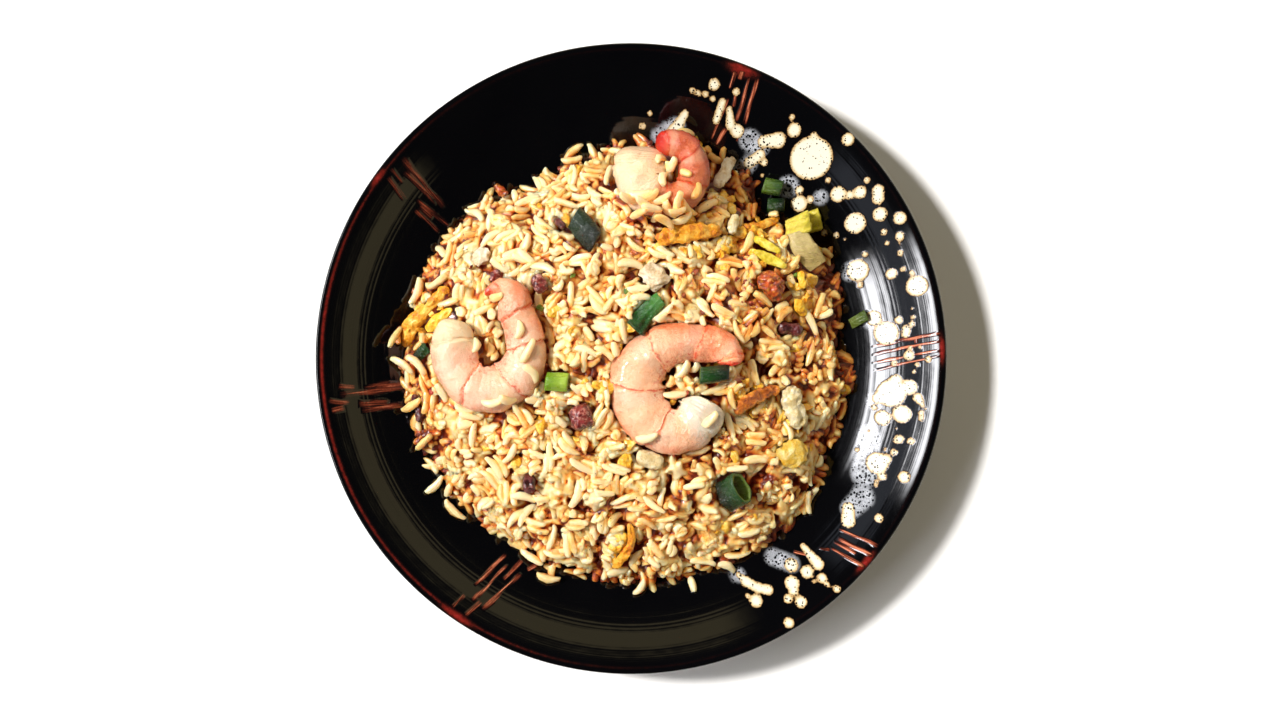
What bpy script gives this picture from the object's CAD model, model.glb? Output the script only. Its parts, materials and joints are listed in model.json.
"""Looks of the fried rice with prawns, heaped in its black dish with a speckled cream splash."""

import json
import math

import bmesh
import bpy
import numpy as np
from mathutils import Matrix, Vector, noise
from mathutils.bvhtree import BVHTree

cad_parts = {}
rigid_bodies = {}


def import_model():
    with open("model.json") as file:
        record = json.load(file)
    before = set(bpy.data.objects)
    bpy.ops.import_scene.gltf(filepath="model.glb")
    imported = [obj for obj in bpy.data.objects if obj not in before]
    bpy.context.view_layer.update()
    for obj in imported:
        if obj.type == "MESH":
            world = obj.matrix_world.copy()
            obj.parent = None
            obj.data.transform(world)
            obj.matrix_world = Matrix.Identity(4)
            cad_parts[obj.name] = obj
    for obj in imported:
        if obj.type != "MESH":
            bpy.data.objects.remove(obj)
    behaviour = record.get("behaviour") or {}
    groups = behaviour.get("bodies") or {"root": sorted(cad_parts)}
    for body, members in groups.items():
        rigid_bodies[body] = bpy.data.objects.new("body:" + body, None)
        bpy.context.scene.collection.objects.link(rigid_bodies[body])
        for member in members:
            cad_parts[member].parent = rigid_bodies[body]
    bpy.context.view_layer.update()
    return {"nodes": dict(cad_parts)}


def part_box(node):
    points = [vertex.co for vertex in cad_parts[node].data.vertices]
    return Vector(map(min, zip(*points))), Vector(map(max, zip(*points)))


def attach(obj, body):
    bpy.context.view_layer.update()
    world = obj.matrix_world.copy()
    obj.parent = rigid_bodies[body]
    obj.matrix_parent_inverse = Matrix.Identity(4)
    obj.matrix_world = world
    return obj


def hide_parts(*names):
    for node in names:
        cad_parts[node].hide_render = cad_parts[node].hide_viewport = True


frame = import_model()

# ---------------------------------------------------------------- dish
# The dish is thrown stoneware on a turned foot ring, with a wide wall that flattens a little below its lip.
# It is dipped in a black gloss glaze that breaks to rust on the lip. Rust strokes are brushed across the wall
# in six places, and a speckled cream glaze is flicked over one side before the firing.

MM = 0.001
RIM_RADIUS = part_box("dish")[1].x / MM
RIM_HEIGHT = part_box("dish")[1].z / MM
WALL_RADII = (0, 45, 60, 75, 90, 95, 99, 102, 105.4, 107.5)
WALL_SLOPES = (0, 1, 8, 20, 26.3, 27.5, 28.9, 27.9, 27.5, 25.6)
UNDERSIDE = (
    (108.6, 23.7), (106, 22.0), (100, 18.4), (94, 15.2), (87, 11.5), (80, 8.6), (74, 6.5), (68, 4.9),
    (63, 3.9), (60, 3.2), (58.9, 2.2), (58.5, 0.6), (57.8, 0.0), (53.4, 0.0), (52.6, 0.5), (51.6, 1.9),
    (50.5, 2.2), (0, 2.2),
)
# Start of the turning, then sweep in degrees and steps: fine where the splash lies, coarser elsewhere
TURN_START = -64
TURNS = ((146, 400), (214, 178))


def rolled(radius, start, stop, steps, corner):
    """Points of an arc that begins at corner and whose slope turns from start to stop degrees."""
    slopes = np.radians(np.linspace(start, stop, steps + 1))[1:]
    first = math.radians(start)
    across = corner[0] + radius * (math.sin(first) - np.sin(slopes))
    up = corner[1] + radius * (np.cos(slopes) - math.cos(first))
    return list(zip(across, up))


def dish_inside():
    """Radius and height of the eating surface and the lip, worked out from the wall's slope."""
    radii = np.concatenate([np.arange(0, 60, 5), np.arange(60, WALL_RADII[-1], 0.7), WALL_RADII[-1:]])
    slopes = np.radians(np.interp(radii, WALL_RADII, WALL_SLOPES))
    rises = np.diff(radii) * np.tan((slopes[1:] + slopes[:-1]) / 2)
    points = list(zip(radii, np.concatenate([[0], np.cumsum(rises)])))
    points += rolled(2.56, WALL_SLOPES[-1], -15.7, 10, points[-1])
    points += rolled(0.62, -15.7, -150, 7, points[-1])
    across, up = np.array(points).T
    return across * RIM_RADIUS / across.max(), up + RIM_HEIGHT - up.max()


inside_radii, inside_heights = dish_inside()
wall = slice(0, int(np.argmax(inside_radii)))


def glaze_height(radius):
    """Height of the dish's upper surface at a radius, or at an array of them."""
    return np.interp(radius, inside_radii[wall], inside_heights[wall])


# Splashes of cream glaze: x, y and radius of a drop, or of both ends of a longer one
DROPS = (
    (29.1, 96.2, 2.1), (21.5, 94.5, 1.1), (23.6, 93.5, 1.1), (26.2, 93.1, 1.1), (28.7, 91.6, 1.1),
    (32.1, 90.4, 1.4, 30.1, 84.5, 1.4), (36.8, 93.5, 1.4), (34.6, 88, 1.1, 35.2, 82.7, 1.8), (37.6, 80.7, 2.5),
    (46.8, 76.9, 2.1, 51.9, 77.2, 2.8), (63.5, 70.7, 7.4), (64.1, 78, 1.4), (69.5, 63, 1.1), (57.3, 80.3, 2.5),
    (56.4, 84.6, 1.1), (45.9, 72.7, 1.8, 42.1, 69.8, 2.1), (37.6, 65.1, 2.9), (47.3, 69.9, 1.4), (46.8, 65.5, 0.7),
    (59.8, 60, 1.6), (59.9, 55.3, 2.9), (63.7, 56.7, 1.4), (75.6, 76.4, 2.3), (73.1, 58.1, 2.8), (77.1, 57.6, 1.6),
    (80.4, 58.4, 2.3), (82.5, 62.4, 1.2), (86.3, 58.8, 2.1, 86.4, 56.1, 2.1), (87.3, 50.6, 2.5), (93.8, 49, 2.3),
    (79.2, 47.9, 3.7), (88.8, 44.4, 1.2), (89.9, 40.6, 0.9), (94, 42.8, 1.7), (94.1, 40.1, 0.5), (94.3, 37, 1.1),
    (91.6, 29.8, 2), (95.4, 31.4, 1), (100, 25.4, 3.7), (98.3, 29.9, 1), (80.5, 31.4, 3.9), (82.8, 37, 1.1),
    (81.4, 26.1, 1.1), (76, 42.4, 0.5), (68.8, 44.9, 1.2), (72.9, 43.9, 1.1), (86.1, 14.4, 2.8), (90.3, 9, 4.2),
    (94.4, 13.6, 1.4), (98.6, 17.7, 0.5), (98.9, 14.6, 0.8), (98.6, 12.1, 1.1), (96.7, 10.4, 1.4, 96.7, 8.6, 1.4),
    (101.2, 4, 0.7), (98.1, 3.7, 0.8), (97.7, 1.1, 1.8), (92.9, -1.6, 1.1), (103.9, -0.2, 1.2), (100.3, -2.1, 0.9),
    (99.3, -4.7, 0.8), (91.9, -12.2, 4.9), (93.5, -7.6, 2.1), (97.7, -10, 2.8), (100.5, -13.8, 1.8, 102.1, -16.6, 0.7),
    (95.3, -19.5, 3.2), (89, -21, 2.8), (87.6, -14, 2.1), (86.2, -17.2, 1.2), (103, -17.6, 0.5),
    (101.4, -19.1, 0.9, 101.4, -21.1, 0.9), (93.3, -24.8, 0.5), (94.2, -28.3, 1.6), (92.9, -29, 0.7), (98, -28.9, 1.3),
    (89.5, -31.9, 0.7), (92.4, -32.9, 1.2), (86.8, -36.9, 3.9), (89.8, -35.4, 1.8), (88.3, -41.3, 1.6),
    (84.4, -25.7, 0.6), (80.3, -32.5, 0.9), (95.4, -41.4, 2.1), (86.3, -43.1, 0.7, 86.2, -44.9, 0.7),
    (86.7, -55.8, 1.6), (76.7, -52.8, 2.1, 76.5, -57.3, 2.5), (56.6, -73, 2.5), (61.9, -75.1, 2.3),
    (65.8, -72.3, 2.1, 60.9, -66.4, 1.1), (66.9, -76.9, 1.8), (64.1, -78.1, 0.7), (68.4, -78.8, 0.9),
    (69.6, -79.7, 0.3), (56.6, -79, 2.6), (57, -81.6, 1.8), (55, -84.3, 1.6), (59.4, -85.1, 2.1),
    (37.7, -76.5, 0.7, 40.8, -79.1, 1.8), (40.8, -79.1, 1.8, 44.9, -81.1, 1.6), (44.9, -81.1, 1.6, 48.3, -81.6, 1.9),
    (44, -85.4, 2.3), (41, -83.9, 1), (71.7, -80.3, 1.4), (55, -92.1, 1.9), (19.1, 87, 1.4, 14.6, 79.8, 2.9),
    (3.9, 82.9, 1.4), (6.7, 87.2, 1.1),
)
# Places where the cream glaze lies so thin that the black shows through
HAZES = (
    (41.9, 77.7, 3.2, 46, 75, 2.6), (37.6, 65.1, 3.4, 42, 69.5, 2.4), (55.9, 61.3, 3.4), (67.2, 57.2, 2.2),
    (78.5, 31.0, 3.2), (85.6, 13.8, 3.2), (82.5, -40.5, 4.2, 84.5, -27, 3.4), (81.5, -49, 3.6, 77.5, -53, 3.0),
    (50.5, -70.5, 2.6, 56.5, -72.5, 2.6), (15.5, 82, 3.4, 10, 79.5, 2.6), (86.5, -15, 2.6), (38, -77, 2.2),
)
BLEND = 0.35


def capsule_depth(x, y, shapes, blend):
    """How far inside the joined drops each point lies, in millimetres; negative outside them."""
    total = np.full_like(x, 1e-30)
    for shape in shapes:
        (x0, y0, r0), (x1, y1, r1) = shape[:3], shape[-3:]
        length = max((x1 - x0) ** 2 + (y1 - y0) ** 2, 1e-9)
        share = np.clip(((x - x0) * (x1 - x0) + (y - y0) * (y1 - y0)) / length, 0, 1)
        away = np.hypot(x - x0 - (x1 - x0) * share, y - y0 - (y1 - y0) * share)
        total += np.exp(np.clip((r0 + (r1 - r0) * share - away) / blend, -60, 60))
    return blend * np.log(total)


def set_values(mesh, name, values):
    """Stores one number at each point of the mesh for its material to read."""
    mesh.attributes.new(name, "FLOAT", "POINT").data.foreach_set("value", np.asarray(values, np.float32))


def points_of(mesh):
    """The mesh's points in millimetres, one row each."""
    co = np.empty(len(mesh.vertices) * 3, np.float32)
    mesh.vertices.foreach_get("co", co)
    return co.reshape(-1, 3).astype(float) / MM


def finished(name, bm, material):
    """Turns a bmesh in millimetres into a smooth object in metres that wears the material."""
    bmesh.ops.scale(bm, vec=(MM, MM, MM), verts=bm.verts[:])
    mesh = bpy.data.meshes.new(name)
    bm.to_mesh(mesh)
    bm.free()
    mesh.shade_smooth()
    mesh.materials.append(material)
    piece = bpy.data.objects.new(name, mesh)
    bpy.context.scene.collection.objects.link(piece)
    return piece


def paint(red, green, blue):
    """A colour given as it looks on a screen, from 0 to 255, as the light that it stands for."""
    levels = [level / 255 for level in (red, green, blue)]
    return tuple(v / 12.92 if v <= 0.04045 else ((v + 0.055) / 1.055) ** 2.4 for v in levels) + (1.0,)


class Wire:
    """An output of a material's node. Arithmetic on it adds Math nodes."""

    def __init__(self, finish, socket):
        self.finish = finish
        self.socket = socket

    def math(self, operation, *values, clamp=False):
        return self.finish.node("Math", {"operation": operation, "use_clamp": clamp}, dict(enumerate(values)))

    def __add__(self, other):
        return self.math("ADD", self, other)

    __radd__ = __add__

    def __sub__(self, other):
        return self.math("SUBTRACT", self, other)

    def __rsub__(self, other):
        return self.math("SUBTRACT", other, self)

    def __mul__(self, other):
        return self.math("MULTIPLY", self, other)

    __rmul__ = __mul__

    def step(self, low, high):
        """Nought below low, one above high, and a smooth rise between; the other way round if high is lower."""
        ends = {"Value": self, "From Min": low, "From Max": high, "To Min": 0.0, "To Max": 1.0}
        return self.finish.node("MapRange", {"interpolation_type": "SMOOTHSTEP"}, ends)


class Finish:
    """A material in the making. Its shader's fixed values are set at once, and node() adds anything else."""

    def __init__(self, name, fixed):
        self.material = bpy.data.materials.new(name)
        self.material.use_nodes = True
        self.tree = self.material.node_tree
        self.shader = self.tree.nodes["Principled BSDF"]
        self.shader.subsurface_method = "BURLEY"
        for socket, value in fixed.items():
            self.shader.inputs[socket].default_value = value

    def node(self, kind, settings, sockets, output=0):
        """Adds a node: its type, its settings, what its sockets hold, and which output is wanted."""
        made = self.tree.nodes.new("ShaderNode" + kind)
        for name, value in settings.items():
            if name == "stops":
                ramp = made.color_ramp
                while len(ramp.elements) < len(value):
                    ramp.elements.new(1.0)
                for element, (position, colour) in zip(ramp.elements, value):
                    element.position = position
                    element.color = colour
            else:
                setattr(made, name, value)
        for name, value in sockets.items():
            if isinstance(value, Wire):
                self.tree.links.new(value.socket, made.inputs[name])
            else:
                made.inputs[name].default_value = value
        return Wire(self, made.outputs[output])

    def place(self):
        """The point on the piece, in millimetres."""
        point = self.node("TexCoord", {}, {}, "Object")
        return self.node("VectorMath", {"operation": "SCALE"}, {0: point, "Scale": 1 / MM})

    def value(self, name):
        """A number stored at the points of the mesh."""
        return self.node("Attribute", {"attribute_name": name}, {}, "Fac")

    def noise(self, place, scale, detail=2.0, roughness=0.5):
        """Soft noise from nought to one, with scale features to a millimetre."""
        sockets = {"Vector": place, "Scale": scale, "Detail": detail, "Roughness": roughness}
        return self.node("TexNoise", {}, sockets, "Fac")

    def ramp(self, factor, stops):
        return self.node("ValToRGB", {"stops": stops}, {"Fac": factor})

    def mix(self, factor, first, second):
        """One colour over another, as far as the factor says."""
        return self.node("Mix", {"data_type": "RGBA"}, {0: factor, 6: first, 7: second}, 2)

    def wear(self, socket, wire):
        """Joins a changing value to one of the shader's own sockets."""
        self.tree.links.new(wire.socket, self.shader.inputs[socket])

    def relief(self, height, distance, strength=1.0):
        """Bumps the surface by a height from nought to one that stands for a distance in millimetres."""
        sockets = {"Height": height, "Distance": distance * MM, "Strength": strength}
        self.wear("Normal", self.node("Bump", {}, sockets))


def glaze_finish():
    """Black gloss glaze, rust where it breaks, and the speckled cream splash over both."""
    glaze = Finish("splashed_black_glaze", {"Roughness": 0.06, "IOR": 1.52})
    place = glaze.place()
    grain = glaze.noise(place, 1.6, 3.0)
    splash = glaze.value("splash") + (glaze.noise(place, 0.9, 3.0) - 0.5) * 0.9
    haze = glaze.value("haze")
    stroke = glaze.value("stroke")
    rust = glaze.value("rust") * (glaze.noise(place, 0.55, 4.0, 0.65) * 1.2 + 0.25)
    black = glaze.mix(glaze.noise(place, 0.05), paint(2, 2, 3), paint(5, 5, 6))
    rusty = glaze.ramp(rust + (grain - 0.5) * 0.3, (
        (0.0, paint(6, 5, 6)), (0.25, paint(44, 14, 10)), (0.6, paint(104, 26, 20)), (1.0, paint(150, 40, 38))))
    colour = glaze.mix(rust.step(0.02, 0.35), black, rusty)
    brushed = glaze.ramp(stroke * (0.7 + grain * 0.6), (
        (0.0, paint(6, 5, 5)), (0.3, paint(48, 20, 14)), (0.6, paint(112, 50, 32)), (1.0, paint(196, 118, 86))))
    colour = glaze.mix(stroke.step(0.03, 0.3), colour, brushed)
    cells = {"Vector": place, "Scale": 0.95, "Randomness": 1.0}
    near = glaze.node("TexVoronoi", {"feature": "F1"}, cells, "Distance")
    pick = glaze.node("TexVoronoi", {"feature": "F1"}, cells, "Color")
    pick = glaze.node("SeparateColor", {}, {0: pick}, 0)
    edge = splash.step(1.3, 0.1)
    size = 0.10 + pick * 0.22 + edge * 0.08 + haze * 0.10
    speck = (size - near).step(-0.03, 0.05)
    fine = glaze.node("TexVoronoi", {"feature": "F1"}, {"Vector": place, "Scale": 2.3}, "Distance")
    speck = speck.math("MAXIMUM", speck, (0.16 + edge * 0.12 - fine).step(-0.04, 0.04) * (0.35 + edge * 0.5))
    cream = glaze.ramp(splash * 0.8, (
        (0.0, paint(110, 78, 44)), (0.16, paint(178, 146, 98)), (0.5, paint(206, 190, 152)), (1.0, paint(224, 216, 194))))
    cream = glaze.mix(speck, cream, paint(20, 14, 10))
    thin = glaze.mix(speck, paint(196, 200, 208), paint(10, 10, 12))
    thin_share = haze.step(0.05, 1.0) * (0.15 + glaze.noise(place, 0.35, 3.0) * 0.9)
    colour = glaze.mix(thin_share.math("MINIMUM", thin_share, 0.8), colour, thin)
    covered = splash.step(-0.12, 0.16)
    glaze.wear("Base Color", glaze.mix(covered, colour, cream))
    flat = glaze.node("VectorMath", {"operation": "MULTIPLY"}, {0: place, 1: (1, 1, 0)}, 0)
    radius = glaze.node("VectorMath", {"operation": "LENGTH"}, {0: flat}, "Value")
    turning = glaze.node("TexNoise", {"noise_dimensions": "1D"}, {"W": radius, "Scale": 0.42, "Detail": 2.0}, 0)
    ripple = glaze.noise(place, 0.11, 2.0) + turning * 0.7
    glaze.wear("Roughness", 0.05 + covered * 0.10 + grain * 0.03)
    glaze.relief(splash.step(-0.3, 0.9) * 0.5 + ripple * 0.25 - speck * covered * 0.12, 0.12)
    return glaze.material


def rust_at(x, y):
    """How strongly the glaze breaks to rust: a line on the lip and a patch where each group of strokes begins."""
    radius = np.hypot(x, y)
    angle = np.degrees(np.arctan2(y, x))
    line = np.exp(-(((radius - 107.8) / 0.6) ** 2))
    around = (angle - 190 + 180) % 360 - 180
    line *= 0.14 + 0.34 * np.exp(-(((around - 4) / 62) ** 4)) + 0.30 * np.exp(-(((around + 8) / 22) ** 2))
    for middle, width, depth in ((1.7, 2.6, 1.0), (69, 2.8, 2.4), (144.5, 2.0, 1.0), (236, 3.6, 1.2), (319, 2.4, 1.2)):
        turn = (angle - middle + 180) % 360 - 180
        line = np.maximum(line, 0.9 * np.exp(-((turn / width) ** 2) - ((radius - 108.2) / depth) ** 2 * (radius < 108.2)
                                              - ((radius - 108.2) / 1.2) ** 2 * (radius >= 108.2)))
    return line


def turned_dish():
    bm = bmesh.new()
    profile = list(zip(inside_radii, inside_heights)) + list(UNDERSIDE)
    start = math.radians(TURN_START)
    corners = [bm.verts.new((r * math.cos(start), r * math.sin(start), z)) for r, z in profile]
    section = corners + [bm.edges.new(pair) for pair in zip(corners, corners[1:])]
    for sweep, steps in TURNS:
        turned = bmesh.ops.spin(bm, geom=section, cent=(0, 0, 0), axis=(0, 0, 1),
                                angle=math.radians(sweep), steps=steps)
        section = turned["geom_last"]
    bmesh.ops.remove_doubles(bm, verts=bm.verts[:], dist=0.004)
    bmesh.ops.recalc_face_normals(bm, faces=bm.faces[:])
    return bm


def store_glaze_values(piece, stroke=None):
    """Works out splash, haze and rust at every point on the upper side of a glazed mesh."""
    x, y, z = points_of(piece.data).T
    upper = z > glaze_height(np.hypot(x, y)) - 0.5
    set_values(piece.data, "splash", np.where(upper, capsule_depth(x, y, DROPS, BLEND), -9))
    haze = np.clip(capsule_depth(x, y, HAZES, 1.0) / 2.2 + 0.6, 0, 1)
    set_values(piece.data, "haze", np.where(upper, haze, 0))
    set_values(piece.data, "rust", np.where(z > RIM_HEIGHT - 4, rust_at(x, y), 0))
    if stroke is not None:
        set_values(piece.data, "stroke", stroke)


glaze_material = glaze_finish()
dish = finished("glazed_dish", turned_dish(), glaze_material)
store_glaze_values(dish)
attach(dish, "root")
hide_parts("dish")

# Brush strokes: x and y where each begins and ends
STROKES = (
    (85.2, 4.1, 108.2, 9.1), (85.4, 1.2, 108.4, 6.4), (85.4, -1.6, 108.4, 3.2), (86.0, -4.1, 108.4, 1.2),
    (99.6, 7.2, 99.8, 5.2),
    (36.4, 100.3, 34.7, 94.5), (39.0, 100.2, 38.1, 97.3), (41.3, 98.3, 37.3, 83.5), (44.1, 98.0, 39.9, 82.6),
    (36.5, 92.8, 35.8, 88.5), (34.1, 91.8, 28.5, 77.9), (33.6, 81.9, 30.3, 76.1), (38.7, 79.3, 37.3, 77.3),
    (73.2, -60.0, 86.2, -65.6), (72.5, -63.4, 84.4, -68.6), (71.1, -64.4, 78.9, -68.1), (70.0, -66.7, 81.7, -72.6),
    (57.4, -68.4, 62.9, -69.6), (66.2, -66.8, 70.0, -67.4),
    (-44.5, -69.6, -55.3, -79.9), (-43.8, -73.2, -55.7, -85.2), (-38.7, -71.7, -45.5, -78.4),
    (-39.0, -76.3, -52.4, -88.0), (-33.8, -73.3, -37.3, -75.1), (-58.4, -82.5, -62.2, -86.8),
    (-52.5, -85.2, -57.8, -89.8),
    (-102.6, -9.7, -96.9, -10.1), (-94.6, -10.2, -78.1, -8.8), (-102.6, -12.8, -75.6, -10.0),
    (-105.7, -14.8, -98.6, -15.4), (-96.2, -15.9, -85.6, -15.6), (-95.3, -18.0, -80.2, -16.6),
    (-104.6, -18.3, -100.2, -17.2),
    (-80.0, 70.5, -66.2, 53.5), (-79.4, 65.9, -68.8, 54.8), (-83.5, 66.6, -79.9, 61.5), (-85.1, 63.5, -79.3, 55.8),
    (-75.8, 56.3, -64.7, 46.8), (-76.3, 52.9, -68.5, 44.9), (-75.0, 54.2, -70.1, 50.1), (-61.5, 50.4, -57.7, 47.0),
    (-62.9, 47.7, -58.6, 45.2), (-67.3, 43.6, -64.8, 40.6),
)
# How bright the strokes are, by group in the order of the list: right, top, lower right, lower left, left, upper left
# and how wide
STROKE_GROUPS = ((5, 1.1, 1.7), (13, 1.0, 2.0), (19, 1.1, 2.1), (26, 0.95, 2.4), (33, 0.62, 3.4), (43, 0.55, 3.1))
STROKE_CUTS = (40, 14)


def brushed_strokes():
    """Each stroke is a slender raised ribbon that follows the wall; returns the mesh and its strength."""
    bm = bmesh.new()
    strength = []
    for number, (x0, y0, x1, y1) in enumerate(STROKES):
        made = bmesh.ops.create_grid(bm, x_segments=STROKE_CUTS[0], y_segments=STROKE_CUTS[1], size=1.0)
        length = math.hypot(x1 - x0, y1 - y0)
        side_x, side_y = -(y1 - y0) / length, (x1 - x0) / length
        bright, wide = next((level, wide) for last, level, wide in STROKE_GROUPS if number < last)
        for vert in made["verts"]:
            along, across = vert.co.x, vert.co.y
            share = 0.5 + 0.5 * along
            wander = 0.35 * noise.noise(Vector((share * length / 5, number * 3.1, 0.5)))
            reach = wide / 2 * (0.8 + 0.5 * noise.noise(Vector((share * length / 7, number * 7.7, 2.5))))
            off = wander + across * reach
            x = x0 + (x1 - x0) * share + side_x * off
            y = y0 + (y1 - y0) * share + side_y * off
            taper = max(0.0, 1 - abs(along) ** 6)
            body = (1 - across**2) * taper
            vert.co = (x, y, float(glaze_height(math.hypot(x, y))) + 0.03 + 0.10 * body)
            hairs = 0.75 + 0.9 * noise.noise(Vector((share * length / 6, off * 3.4, number * 2.3)))
            strength.append(body * bright * hairs)
    return bm, strength


bm, stroke_strength = brushed_strokes()
strokes = finished("brushed_strokes", bm, glaze_material)
store_glaze_values(strokes, stroke_strength)
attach(strokes, "root")

# ---------------------------------------------------------------- shape of the heap
# The rice was turned out of the pan into a low heap. Its surface is read here as a grid of heights, with
# the places of the toppings bridged, so that the rice can later be laid under and around them.

GRID = 0.5
GRID_REACH = 96
cells = np.arange(-GRID_REACH, GRID_REACH + GRID / 2, GRID)
grid_x, grid_y = np.meshgrid(cells, cells, indexing="ij")


def cell_of(value):
    """Index of the grid cell that holds a coordinate in millimetres."""
    return int(min(max(round((value + GRID_REACH) / GRID), 0), len(cells) - 1))


def tops_of(piece):
    """Height of the piece's top over each cell of the grid, and minus one where it isn't."""
    shape = bmesh.new()
    shape.from_mesh(piece.data)
    tree = BVHTree.FromBMesh(shape)
    shape.free()
    points = points_of(piece.data)
    found = np.full(grid_x.shape, -1.0)
    (x0, y0, _), (x1, y1, _) = points.min(0), points.max(0)
    above = points[:, 2].max() + 5
    for i in range(cell_of(x0), cell_of(x1) + 1):
        for j in range(cell_of(y0), cell_of(y1) + 1):
            hit = tree.ray_cast(Vector((cells[i], cells[j], above)) * MM, Vector((0, 0, -1)))[0]
            if hit is not None:
                found[i, j] = hit.z / MM
    return found


def widened(mask, times):
    for _ in range(times):
        grown = mask.copy()
        grown[1:] |= mask[:-1]
        grown[:-1] |= mask[1:]
        grown[:, 1:] |= mask[:, :-1]
        grown[:, :-1] |= mask[:, 1:]
        mask = grown
    return mask


def filled_in(heights, gaps):
    """Heights with the gaps bridged smoothly from their edges."""
    result = np.where(gaps, heights[~gaps & (heights > 0)].mean(), heights)
    known = ~gaps & (heights > 0)
    weight = (known | gaps).astype(float)
    for _ in range(160):
        total, count = np.zeros_like(result), np.zeros_like(result)
        for axis, step in ((0, 1), (0, -1), (1, 1), (1, -1)):
            total += np.roll(result * weight, step, axis)
            count += np.roll(weight, step, axis)
        result = np.where(gaps, total / np.maximum(count, 1), result)
    return result


heap_node = frame["nodes"]["fried_rice"]
topping_nodes = [name for name in frame["nodes"] if name not in ("dish", "fried_rice")]
heap_grid = tops_of(heap_node)
pockets = np.zeros(grid_x.shape, bool)
for name in topping_nodes:
    pockets |= tops_of(frame["nodes"][name]) > 0
heap_grid = filled_in(heap_grid, widened(pockets, 3) & (widened(heap_grid > 0, 4)))
heap_mask = heap_grid > 0
dish_grid = glaze_height(np.hypot(grid_x, grid_y))


def heap_top(x, y):
    """Height of the heap's surface, read from the grid."""
    return float(max(heap_grid[cell_of(x), cell_of(y)], dish_grid[cell_of(x), cell_of(y)]))


# ---------------------------------------------------------------- prawns
# Three peeled prawns, cooked until they curl, lie on their sides half sunk in the rice. The flesh is
# milky pink, with thin orange creases between its rings and a redder tail end.


def along_path(path, share):
    """Point and direction at a share of a smooth curve through the path's points."""
    spans = len(path) - 1
    spot = min(max(share, 0.0), 1.0) * spans
    first = min(int(spot), spans - 1)
    t = spot - first
    a, b, c, d = (Vector(path[min(max(first + k, 0), spans)]) for k in (-1, 0, 1, 2))
    point = 0.5 * (2 * b + (c - a) * t + (2 * a - 5 * b + 4 * c - d) * t**2 + (3 * b - 3 * c + d - a) * t**3)
    slope = (c - a) + 2 * (2 * a - 5 * b + 4 * c - d) * t + 3 * (3 * b - 3 * c + d - a) * t**2
    return point, slope.normalized()


def between(values, share):
    """Value at a share of an evenly spaced list."""
    return float(np.interp(share * (len(values) - 1), range(len(values)), values))


def held_in_bend(side, path, share):
    """The sideways reach, held short of the middle of the bend that it turns round."""
    (x0, y0), before = along_path(path, share - 0.04)
    (x1, y1), after = along_path(path, share + 0.04)
    turn = before.x * after.y - before.y * after.x
    if turn * side <= 0:
        return side
    return math.copysign(min(abs(side), 0.6 * math.hypot(x1 - x0, y1 - y0) / abs(turn)), side)


PRAWN_RINGS = 6
PRAWN_CUTS = (40, 240)


def prawn_mesh(node, path, widths, thick, lift, belly, end):
    """A curled body along the path, as high as its node. belly is 1 where the path's left is the curl's inside."""
    bm = bmesh.new()
    along_layer = bm.verts.layers.float.new("along")
    back_layer = bm.verts.layers.float.new("back")
    bmesh.ops.create_uvsphere(bm, u_segments=PRAWN_CUTS[0], v_segments=PRAWN_CUTS[1], radius=1.0)
    for vert in bm.verts:
        share = math.acos(max(-1.0, min(1.0, vert.co.z))) / math.pi
        around = math.atan2(vert.co.y, vert.co.x)
        (x, y), (dx, dy) = along_path(path, share)
        near_end = max(0.0, 1 - min(share, 1 - share) / end)
        cap = math.sqrt(max(0.0, 1 - near_end**2))
        back = -math.cos(around) * belly
        ring = (share * PRAWN_RINGS + 0.12 * back) % 1.0
        crease = math.exp(-(((ring - 0.5) / 0.04) ** 2))
        plate = 1 + 0.09 * ((ring + 0.5) % 1.0) ** 1.5 - 0.05 * crease - 0.03
        width = between(widths, share)
        half = 0.5 * width * cap * plate
        tall = 0.5 * thick * cap * min(1.0, width / thick) * plate * (1 - 0.22 * max(0.0, -back))
        side = held_in_bend(math.cos(around) * half, path, share)
        point = Vector((x - dy * side, y + dx * side, heap_top(x, y) + lift + math.sin(around) * tall))
        point += cap * (0.6 * noise.noise_vector(point / 5) + 0.25 * noise.noise_vector(point / 1.8))
        point += cap * 0.12 * noise.noise_vector(point / 0.7)
        vert.co = point
        vert[along_layer] = share
        vert[back_layer] = back
    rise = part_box(node)[1].z / MM - max(vert.co.z for vert in bm.verts)
    for vert in bm.verts:
        floor = float(glaze_height(math.hypot(vert.co.x, vert.co.y))) + 0.4
        vert.co.z = max(vert.co.z + rise, floor)
    bmesh.ops.recalc_face_normals(bm, faces=bm.faces[:])
    return bm


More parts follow.
